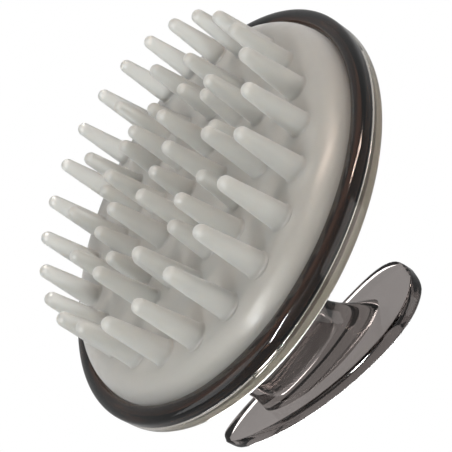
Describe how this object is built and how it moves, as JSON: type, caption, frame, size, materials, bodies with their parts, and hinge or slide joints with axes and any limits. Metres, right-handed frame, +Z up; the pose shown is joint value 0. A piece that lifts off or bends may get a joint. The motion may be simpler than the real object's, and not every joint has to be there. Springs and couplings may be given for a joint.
{
  "type": "scalp massager brush",
  "caption": "Oval hand-held scalp massager: soft silicone bristles on a cushioned pad, framed by a smoky clear ring, with a leaf-shaped finger grip on a short stem above the dome.",
  "frame": {"origin": "middle of the brush's outline seen from above, at the height of the bristle tips it stands on", "axes": "+Z up along the bristles to the grip, +Y along the longer way across the head, +X along the grip towards its broad end"},
  "size_m": [0.0734, 0.085, 0.0568],
  "materials": {
    "smoky_plastic": "glossy transparent smoke grey",
    "ring_plastic": "glossy transparent smoke grey, darker where it is thick",
    "backing_plastic": "satin",
    "silicone": "milky translucent, satin"
  },
  "bodies": {
    "handle": {"handle_dome": "smoky_plastic", "leaf_grip": "smoky_plastic", "retaining_ring": "ring_plastic", "backing_plate": "backing_plastic"},
    "pad": {"silicone_pad": "silicone", "outer_bristles": "silicone", "middle_bristles": "silicone", "short_bristles": "silicone", "inner_bristles": "silicone", "centre_bristle": "silicone"}
  },
  "joints": [
    {"name": "pad_press", "type": "slide", "parent": "handle", "child": "pad", "axis": [0, 0, 1], "range_m": [0, 0.0008], "stiffness_N_per_m": 3000}
  ]
}
